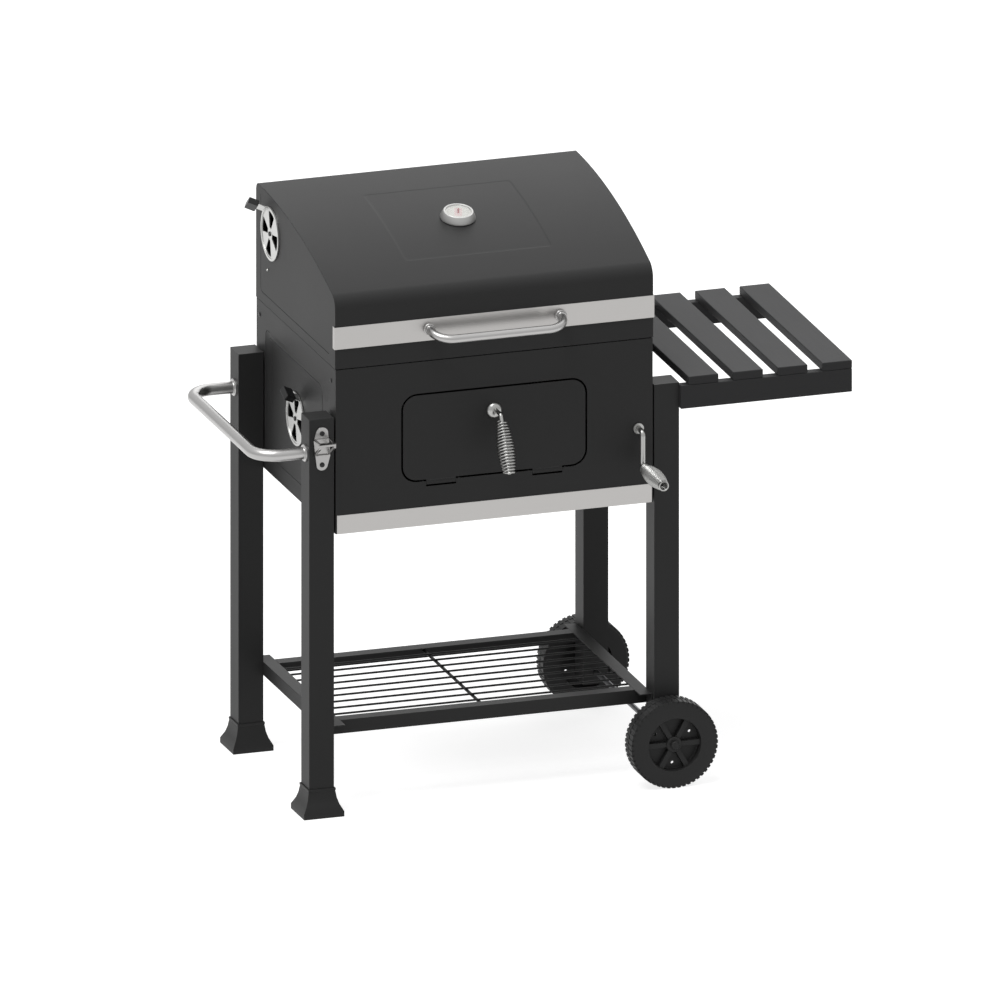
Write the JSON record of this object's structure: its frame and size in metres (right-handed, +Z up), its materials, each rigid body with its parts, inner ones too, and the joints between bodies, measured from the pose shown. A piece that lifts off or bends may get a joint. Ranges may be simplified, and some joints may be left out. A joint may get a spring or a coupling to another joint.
{
  "type": "charcoal grill cart",
  "caption": "Charcoal grill cart: firebox with hinged hood and fuel door, crank-lifted fire pan, slatted side shelf, wire bottom shelf, two feet and two wheels.",
  "frame": {"origin": "middle of the footprint's bounding box, on the ground", "axes": "+X to the grill's right-hand side, where the side shelf is, seen from the front; +Y from the front panel to the back; +Z up"},
  "size_m": [1.1472, 0.6614, 1.0839],
  "materials": {
    "black_paint": "satin black heat-resistant powder coat",
    "black_plastic": "matt moulded plastic",
    "grate_wire": "chromed wire",
    "grip_steel": "nickel-plated wire and rod",
    "handle_steel": "satin chrome",
    "needle": "red paint",
    "opener_steel": "tumbled stainless",
    "pan_enamel": "black enamel",
    "plain_steel": "zinc-plated steel",
    "shelf_wood": "black-stained slats, matt",
    "trim_steel": "brushed stainless, long grain",
    "vent_steel": "satin stainless"
  },
  "bodies": {
    "cart": {"firebox_front": "black_paint", "firebox_back": "black_paint", "firebox_left": "black_paint", "firebox_right": "black_paint", "firebox_floor": "black_paint", "lower_trim": "trim_steel", "leg_front_left": "black_paint", "leg_front_right": "black_paint", "leg_back_left": "black_paint", "leg_back_right": "black_paint", "foot_front_left": "black_plastic", "foot_back_left": "black_plastic", "rail_left": "black_paint", "rail_right": "black_paint", "rail_front": "black_paint", "rail_back": "black_paint", "wire_shelf": "black_paint", "wheel_axle": "plain_steel", "shelf_beam_front": "shelf_wood", "shelf_beam_back": "shelf_wood", "shelf_slat_1": "shelf_wood", "shelf_slat_2": "shelf_wood", "shelf_slat_3": "shelf_wood", "shelf_slat_4": "shelf_wood", "pull_handle": "handle_steel", "bottle_opener": "opener_steel", "hinge_base_left": "plain_steel", "hinge_base_right": "plain_steel", "door_hinge_pin": "plain_steel", "crank_bush": "plain_steel", "lower_vent_rivet": "black_paint", "ash_tray": "pan_enamel", "cooking_grate_left": "grate_wire", "cooking_grate_right": "grate_wire"},
    "hood": {"hood_shell": "black_paint", "hood_cheek_left": "black_paint", "hood_cheek_right": "black_paint", "hood_trim": "trim_steel", "hood_handle": "handle_steel", "hinge_leaf_left": "plain_steel", "hinge_leaf_right": "plain_steel", "thermometer_bezel": "handle_steel", "upper_vent_rivet": "black_paint"},
    "upper_vent": {"upper_vent_disc": "vent_steel", "upper_vent_knob": "black_plastic"},
    "needle": {"thermometer_needle": "needle"},
    "lower_vent": {"lower_vent_disc": "vent_steel", "lower_vent_knob": "black_plastic"},
    "door": {"door_panel": "black_paint"},
    "door_latch": {"door_handle": "grip_steel", "door_grip": "grip_steel"},
    "crank": {"crank_arm": "grip_steel", "crank_grip": "grip_steel", "lift_shaft": "plain_steel"},
    "fire_pan": {"fire_pan": "pan_enamel", "lift_rack": "plain_steel"},
    "front_wheel": {"wheel_front": "black_plastic", "axle_cap_front": "black_plastic"},
    "back_wheel": {"wheel_back": "black_plastic", "axle_cap_back": "black_plastic"}
  },
  "joints": [
    {"name": "hood_hinge", "type": "hinge", "parent": "cart", "child": "hood", "pos_m": [-0.11438, 0.28735, 0.862], "axis": [-1, 0, 0], "range_deg": [0, 90]},
    {"name": "upper_vent_turn", "type": "hinge", "parent": "hood", "child": "upper_vent", "pos_m": [-0.42238, 0.19335, 1.004], "axis": [-1, 0, 0], "range_deg": [0, 45]},
    {"name": "needle_turn", "type": "hinge", "parent": "hood", "child": "needle", "pos_m": [-0.11438, 0.02935, 1.05854], "axis": [0, -0.2016, 0.9795], "range_deg": [-130, 130], "stiffness_Nm_per_rad": 0.0005},
    {"name": "lower_vent_turn", "type": "hinge", "parent": "cart", "child": "lower_vent", "pos_m": [-0.42137, 0.04935, 0.6925], "axis": [-1, 0, 0], "range_deg": [-45, 0]},
    {"name": "door_hinge", "type": "hinge", "parent": "cart", "child": "door", "pos_m": [-0.11438, -0.17565, 0.62], "axis": [1, 0, 0], "range_deg": [0, 90]},
    {"name": "door_latch_turn", "type": "hinge", "parent": "door", "child": "door_latch", "pos_m": [-0.11438, -0.18065, 0.748], "axis": [0, 1, 0], "range_deg": [0, 90]},
    {"name": "pan_lift", "type": "slide", "parent": "cart", "child": "fire_pan", "axis": [0, 0, 1], "range_m": [0, 0.075]},
    {"name": "crank_turn", "type": "hinge", "parent": "cart", "child": "crank", "pos_m": [0.16362, -0.18065, 0.685], "axis": [0, 1, 0], "range_deg": [-1, 360]},
    {"name": "front_wheel_spin", "type": "hinge", "parent": "cart", "child": "front_wheel", "pos_m": [0.21863, -0.20815, 0.0835], "axis": [0, 1, 0], "continuous": true},
    {"name": "back_wheel_spin", "type": "hinge", "parent": "cart", "child": "back_wheel", "pos_m": [0.21863, 0.30585, 0.0835], "axis": [0, 1, 0], "continuous": true}
  ],
  "couplings": [
    {"joint": "crank_turn", "follows": "pan_lift", "rad_per_m": 83.333}
  ]
}
